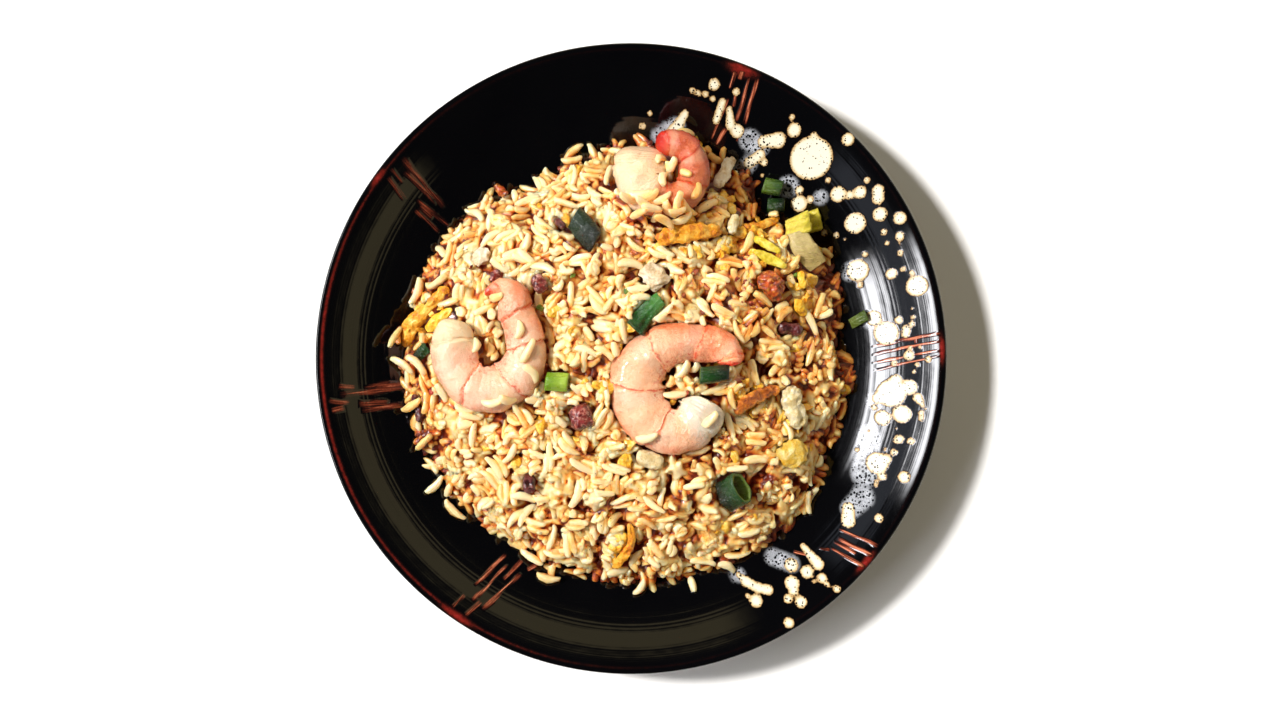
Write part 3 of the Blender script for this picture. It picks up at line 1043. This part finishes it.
def stuck_mesh():
    """The stuck mass as one closed mesh: its surface, a wall down to the glaze, and an underside."""
    held = ~widened(~heap_mask, 6)
    index = np.full(held.shape, -1)
    index[held] = np.arange(held.sum())
    corners = np.stack([index[:-1, :-1], index[1:, :-1], index[1:, 1:], index[:-1, 1:]], 2).reshape(-1, 4)
    corners = corners[(corners >= 0).all(1)]
    points = np.stack([grid_x[held], grid_y[held], top_grid[held]], 1)
    mesh = bpy.data.meshes.new("stuck")
    mesh.from_pydata(points.tolist(), [], corners.tolist())
    bm = bmesh.new()
    bm.from_mesh(mesh)
    bpy.data.meshes.remove(mesh)
    bmesh.ops.delete(bm, geom=[vert for vert in bm.verts if not vert.link_faces], context="VERTS")
    lip = [edge for edge in bm.edges if edge.is_boundary]
    wall = bmesh.ops.extrude_edge_only(bm, edges=lip)["geom"]
    for vert in wall:
        if isinstance(vert, bmesh.types.BMVert):
            vert.co.z = float(glaze_height(math.hypot(vert.co.x, vert.co.y))) + 0.15
    middle = bm.verts.new((0, 0, float(glaze_height(0)) + 0.15))
    for edge in wall:
        if isinstance(edge, bmesh.types.BMEdge):
            bm.faces.new((*edge.verts, middle))
    bmesh.ops.recalc_face_normals(bm, faces=bm.faces[:])
    return bm


def top_up(tries, candidates, enough):
    """Drops whole grains on the surface where it is still low."""
    tired = np.zeros(grid_x.shape)
    for _ in range(tries):
        picks = inside[rng.integers(len(inside), size=candidates)]
        lack = (target - top_grid - tired)[picks[:, 0], picks[:, 1]]
        best = int(np.argmax(lack))
        i, j = picks[best]
        if lack[best] < enough:
            continue
        x, y = cells[i] + rng.uniform(-0.25, 0.25), cells[j] + rng.uniform(-0.25, 0.25)
        yaw = 5 * noise.noise(Vector((x / 11, y / 11, 2.0))) + rng.normal(0, 0.9)
        length, width = grain_size()
        steep = 0.5 if rng.random() < 0.2 else 0.18
        if not drop_grain(x, y, yaw, length, width, rng.uniform(0.6, 1.7), steep, "heap"):
            tired[max(i - 2, 0):i + 3, max(j - 2, 0):j + 3] += 1.5
        elif rng.random() < STUCK_SHARE:
            stick_to_last()


def stain(x, y, depth):
    """Tone of the rice: patches of soy sauce, darker the deeper it lies, towards the right and at the far left."""
    patch = noise.noise(Vector((x / 9, y / 9, 4.0))) + 0.7 * noise.noise(Vector((x / 4, y / 4, 8.0)))
    saucy = 0.14 * min(max(x / 60, -0.4), 1) + 0.2 * min(max((x + y - 40) / 50, 0), 1)
    edge = 0.25 * min(max((-x - 58) / 14, 0), 1)
    return 0.22 + 0.6 * min(max((depth - 1.0) / 4.0, 0), 1) + 0.3 * patch + saucy + edge


inside, target = heap_targets()
top_grid = np.where(heap_mask, np.maximum(heap_grid - 8.0, dish_grid + 0.5), dish_grid)
bury(6500, 0.9, 3.2, False)
stuck_grid = top_grid = np.where(heap_mask, softened(top_grid), top_grid)
stuck_bm = stuck_mesh()
top_grid = np.maximum(stuck_grid, topping_grid)
bury(2000, 0.3, 2.4, True)
scatter_scraps()
top_up(1500, 4, 0.45)

# Grains that lie on the prawns and across their edges: x, y, heading in degrees, length
ON_PRAWNS = (
    (9.9, 69.0, 20, 4.6), (13.1, 64.6, 100, 8.4), (10.6, 61.6, 80, 6.4), (18.8, 63.0, -20, 4.4), (14.2, 66.4, 70, 6.0),
    (3.0, 55.6, 4, 9.4), (10.4, 53.8, 24, 8.2), (19.0, 50.8, -42, 9.4), (26.2, 53.2, 30, 8.6), (-2.4, 52.4, -44, 8.6),
    (-1.0, 53.8, -20, 8.6), (6.6, 54.6, 30, 7.4), (12.6, 50.4, -60, 8.0), (15.8, 53.2, 70, 7.2), (4.6, 52.2, -36, 8.8),
    (17.6, 47.2, 24, 8.2), (9.0, 48.6, 60, 7.2), (15.6, 49.4, 12, 7.0), (22.6, 56.6, 64, 6.4), (7.0, 50.6, -12, 7.8), (2.6, 49.0, 20, 8.0), (11.6, 46.8, -30, 8.4),
    (-34.6, 2.6, 62, 9.2), (-37.2, 9.6, 80, 6.6), (-45.6, 20.8, 20, 6.4), (-33.2, -4.6, -50, 7.6),
    (26.8, -20.6, 50, 7.2), (-52.4, 4.6, 88, 5.6), (-46.6, -15.2, 10, 8.4), (5.6, -27.2, 12, 7.8), (-41.8, -14.4, -16, 7.0),
)
for x, y, heading, length in ON_PRAWNS:
    drop_grain(x, y, math.radians(heading), length, 2.9, 0.5, 0.04, "stray", 1.0)

# Single grains at the foot of the heap and on the glaze: x, y, heading in degrees, length
STRAYS = (
    (-21.3, 73.7, -136, 10.0), (-21.2, 70.5, 6, 7.9), (-54.1, 51.1, -45, 6.8), (-67.3, 38.1, -50, 6.3),
    (-75.7, 23.6, -110, 10.5), (-80.7, -1.7, -32, 10.4), (-74.9, -1.8, -48, 9.8), (-77.0, -16.8, 32, 9.4),
    (-73.4, -29.5, 41, 8.4), (-69.3, -45.1, 44, 8.8), (-64.8, -46.6, 68, 6.0), (-63.2, -54.3, -44, 10.2),
    (-35.6, -70.8, -31, 10.0), (-29.6, -78.2, -13, 9.0), (3.5, -81.4, 56, 7.4), (34.3, -73.5, -30, 7.2),
    (21.7, -80.2, -77, 5.8),
)
for x, y, heading, length in STRAYS:
    drop_grain(x, y, math.radians(heading), length, 2.8, 0.15, 0.03, "stray", 1.0)


def rice_finish():
    """Boiled rice, translucent and oily, stained from cream to brown by its tone, with dark specks."""
    rice = Finish("cooked_rice", {
        "Subsurface Weight": 0.9, "Subsurface Radius": (1.0, 0.5, 0.18), "Subsurface Scale": 0.0042,
        "Specular IOR Level": 0.7, "Coat Weight": 0.25, "Coat Roughness": 0.1})
    place = rice.place()
    tone = rice.value("tone")
    stain = rice.noise(place, 0.13, 3.0, 0.6)
    fine = rice.noise(place, 0.9, 3.0)
    spot = rice.node("CombineXYZ", {}, {0: rice.value("lengthways") * 0.22, 1: rice.value("side") * 9.0})
    streak = rice.noise(spot, 1.0, 2.0)
    tone = tone + (stain - 0.5) * 0.6 + (fine - 0.5) * 0.3 + (streak - 0.5) * 0.35
    colour = rice.ramp(tone, (
        (0.0, paint(243, 222, 172)), (0.3, paint(235, 194, 116)), (0.55, paint(222, 146, 58)),
        (0.8, paint(184, 80, 26)), (1.0, paint(104, 30, 12))))
    dots = rice.node("TexVoronoi", {"feature": "F1"}, {"Vector": place, "Scale": 0.26}, "Distance")
    colour = rice.mix(dots.step(0.07, 0.04) * 0.85, colour, paint(38, 20, 12))
    rice.wear("Base Color", colour)
    rice.wear("Roughness", 0.22 + fine * 0.25)
    rice.relief(fine * 0.45 + streak * 0.35 + rice.noise(place, 2.4, 2.0) * 0.2, 0.45)
    return rice.material


def joined_grains(name, chosen, material):
    """One mesh of many grains, each turned, pitched and placed as it was dropped."""
    points, faces, tones, lengthways, roundways = [], [], [], [], []
    for number, (x, y, z, yaw, pitch, length, width, depth, _) in enumerate(chosen):
        unit = unit_grains[int(rng.integers(GRAIN_FORMS))]
        form = unit * (length / 2, width / 2, width * 0.40)
        lengthways.append(unit[:, 0] * length / 2 + number * 1.7)
        roundways.append(np.arctan2(unit[:, 2], unit[:, 1] + 1e-6))
        roll = rng.uniform(-0.5, 0.5)
        cos_r, sin_r = math.cos(roll), math.sin(roll)
        cos_p, sin_p = math.cos(pitch), math.sin(pitch)
        cos_y, sin_y = math.cos(yaw), math.sin(yaw)
        a, b, c = form.T
        b, c = b * cos_r - c * sin_r, b * sin_r + c * cos_r
        a, c = a * cos_p - c * sin_p, a * sin_p + c * cos_p
        points.append(np.stack([x + a * cos_y - b * sin_y, y + a * sin_y + b * cos_y, z + c], 1))
        base = number * len(form)
        faces.extend([[base + k for k in face] for face in grain_faces])
        tone = stain(x, y, depth) + rng.normal(0, 0.10)
        tones.append(np.full(len(form), tone))
    mesh = bpy.data.meshes.new(name)
    mesh.from_pydata((np.concatenate(points) * MM).tolist(), [], faces)
    mesh.shade_smooth()
    mesh.materials.append(material)
    set_values(mesh, "tone", np.concatenate(tones) + in_gaps(np.concatenate(points)))
    set_values(mesh, "lengthways", np.concatenate(lengthways))
    set_values(mesh, "side", np.abs(np.concatenate(roundways)) / math.pi)
    piece = bpy.data.objects.new(name, mesh)
    bpy.context.scene.collection.objects.link(piece)
    return piece


def scrap_forms(count, seed):
    """Unit scraps with folds and ragged edges, and the faces they share."""
    forms, faces = [], None
    for number in range(count):
        bm = bmesh.new()
        bmesh.ops.create_uvsphere(bm, u_segments=14, v_segments=9, radius=1.0)
        for vert in bm.verts:
            spot = vert.co * 1.1 + Vector((number * 4.1 + seed, 0, 0))
            vert.co *= 1 + 0.55 * noise.noise(spot) + 0.3 * noise.noise(spot * 2.3)
            vert.co.z = vert.co.z * 0.35 + 0.5 * noise.noise(Vector((vert.co.x * 1.3, vert.co.y * 1.3, number + seed)))
        bmesh.ops.recalc_face_normals(bm, faces=bm.faces[:])
        forms.append(np.array([vert.co[:] for vert in bm.verts]))
        faces = [[vert.index for vert in face.verts] for face in bm.faces]
        bm.free()
    return forms, faces


def joined_scraps(name, chosen, material, seed):
    points, faces = [], []
    forms, form_faces = scrap_forms(10, seed)
    for number, (x, y, z, yaw, pitch, length, width, _) in enumerate(chosen):
        a, b, c = (forms[number % len(forms)] * (length / 2, width / 2, width / 2)).T
        a, c = a * math.cos(pitch) - c * math.sin(pitch), a * math.sin(pitch) + c * math.cos(pitch)
        points.append(np.stack([x + a * math.cos(yaw) - b * math.sin(yaw), y + a * math.sin(yaw) + b * math.cos(yaw), z + c], 1))
        faces.extend([[number * len(a) + k for k in face] for face in form_faces])
    mesh = bpy.data.meshes.new(name)
    mesh.from_pydata((np.concatenate(points) * MM).tolist(), [], faces)
    mesh.shade_smooth()
    mesh.materials.append(material)
    piece = bpy.data.objects.new(name, mesh)
    bpy.context.scene.collection.objects.link(piece)
    return piece


scrap_egg = egg_finish("egg_scraps", paint(214, 122, 18), paint(244, 186, 46), paint(250, 222, 130), 0.5)
scrap_meat = sausage_finish("meat_crumbs", paint(176, 52, 30), paint(104, 20, 16), paint(226, 130, 80), 0.4)
scrap_green = egg_finish("green_slivers", paint(40, 74, 24), paint(106, 136, 40), paint(168, 180, 84), 0.5)
for seed, (kind, material, slot) in enumerate((
        ("egg", scrap_egg, "fried_egg"), ("meat", scrap_meat, "sausage"), ("green", scrap_green, "spring_onion"))):
    piece = joined_scraps(f"{kind}_scraps", [scrap for scrap in scraps if scrap[7] == kind], material, seed * 31)
    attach(piece, "root")

around_grid = np.where(topping_mask, stuck_grid, top_grid)
for _ in range(14):
    around_grid = softened(around_grid)


def in_gaps(points):
    """How much deeper the oil and sauce stain each point, by how far it lies below what is around it."""
    i, j = (np.clip(np.rint((points[:, k] + GRID_REACH) / GRID), 0, len(cells) - 1).astype(int) for k in (0, 1))
    return 0.48 * np.clip((around_grid[i, j] - points[:, 2]) / 1.2, -0.5, 1.4)


cooked = rice_finish()
stuck = finished("stuck_rice", stuck_bm, cooked)
stuck_points = points_of(stuck.data)
stained = [stain(x, y, heap_grid[cell_of(x), cell_of(y)] - z) for x, y, z in stuck_points]
set_values(stuck.data, "tone", stained + in_gaps(stuck_points))
set_values(stuck.data, "lengthways", np.zeros(len(stained)))
set_values(stuck.data, "side", np.zeros(len(stained)))
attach(stuck, "root")
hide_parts("fried_rice")

MOST_GRAINS = 1750
order = sorted(range(len(grains)), key=lambda k: grains[k][7], reverse=True)
for layer, first in enumerate(range(0, len(order), MOST_GRAINS)):
    piece = joined_grains(f"rice_layer_{layer + 1}", [grains[k] for k in order[first:first + MOST_GRAINS]], cooked)
    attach(piece, "root")
# ---------------------------------------------------------------- floor, camera and light
# A white table, a camera straight above the dish, and one long soft light at the left, as in a food studio.

bm = bmesh.new()
bmesh.ops.create_grid(bm, x_segments=1, y_segments=1, size=3000)
table = Finish("white_table", {"Base Color": paint(245, 245, 245), "Roughness": 0.8})
floor = finished("table_top", bm, table.material)

CAMERA_HEIGHT = 0.55
camera = bpy.data.objects.new("camera", bpy.data.cameras.new("camera"))
camera.data.sensor_width = 36
camera.data.lens = 42.25
camera.location = (0.0031, -0.0005, CAMERA_HEIGHT)
camera.data.clip_start = 0.01
bpy.context.scene.collection.objects.link(camera)
bpy.context.scene.camera = camera

KEY_DISTANCE = 3.0
glazed = bpy.data.collections.new("glazed")
unglazed = bpy.data.collections.new("unglazed")
for thing in bpy.context.scene.collection.objects:
    (glazed if thing in (dish, strokes, floor) else unglazed).objects.link(thing)
for name, receivers, turn, rise, spread, energy, glint in (
        ("key_light", unglazed, 161.5, 49, 3.8, 84, True), ("key_on_glaze", glazed, 161.5, 49, 3.8, 145, False),
        ("soft_fill", unglazed, 150, 62, 20, 30, False)):
    key = bpy.data.objects.new(name, bpy.data.lights.new(name, "AREA"))
    key.data.shape = "DISK"
    key.data.size = 2 * KEY_DISTANCE * math.tan(math.radians(spread))
    key.data.energy = energy
    key.data.color = (1.0, 0.975, 0.94)
    turn, rise = math.radians(turn), math.radians(rise)
    aim = Vector((math.cos(turn) * math.cos(rise), math.sin(turn) * math.cos(rise), math.sin(rise)))
    key.location = aim * KEY_DISTANCE
    key.rotation_mode = "QUATERNION"
    key.rotation_quaternion = (-aim).to_track_quat("-Z", "Y")
    key.visible_glossy = glint
    key.light_linking.receiver_collection = receivers
    bpy.context.scene.collection.objects.link(key)


def studio_surroundings():
    """The dark studio above, a strip light, lighter walls near the horizon, and plain white for the camera."""
    world = bpy.data.worlds.new("studio")
    bpy.context.scene.world = world
    world.use_nodes = True
    studio = Finish.__new__(Finish)
    studio.tree = world.node_tree
    way = studio.node("TexCoord", {}, {}, "Generated")
    x = studio.node("SeparateXYZ", {}, {0: way}, 0)
    y = studio.node("SeparateXYZ", {}, {0: way}, 1)
    up = studio.node("SeparateXYZ", {}, {0: way}, 2)
    azimuth = x.math("ARCTAN2", y, x) * (180 / math.pi)
    elevation = up.math("ARCSINE", up) * (180 / math.pi)
    turn = azimuth.math("ABSOLUTE", azimuth.math("WRAP", azimuth - 178.5, 180.0, -180.0))
    dome = (0.018, 0.018, 0.022, 1)
    low_wall = studio.mix(azimuth.math("COSINE", (azimuth - 55) * (math.pi / 180)).step(-1.0, 1.0),
                          (0.30, 0.28, 0.25, 1), (1.35, 1.26, 1.10, 1))
    warm = azimuth.step(-46, -38) * azimuth.step(118, 108)
    cool = azimuth.math("ABSOLUTE", azimuth).step(132, 140)
    colour = studio.mix(warm, dome, (0.66, 0.55, 0.30, 1))
    colour = studio.mix(cool, colour, (0.52, 0.56, 0.66, 1))
    colour = studio.mix(elevation.step(45.6, 44.9), dome, colour)
    colour = studio.mix(elevation.step(24, 16), colour, low_wall)
    strip = elevation.step(45.2, 47.0) * elevation.step(51.5, 48.6) * turn.step(27, 17)
    colour = studio.mix(strip, colour, (26, 26, 27, 1))
    seen = studio.node("LightPath", {}, {}, "Is Camera Ray")
    colour = studio.mix(seen, colour, (1.1, 1.1, 1.1, 1))
    studio.tree.links.new(colour.socket, studio.tree.nodes["Background"].inputs["Color"])


studio_surroundings()
bpy.context.scene.view_settings.view_transform = "Standard"
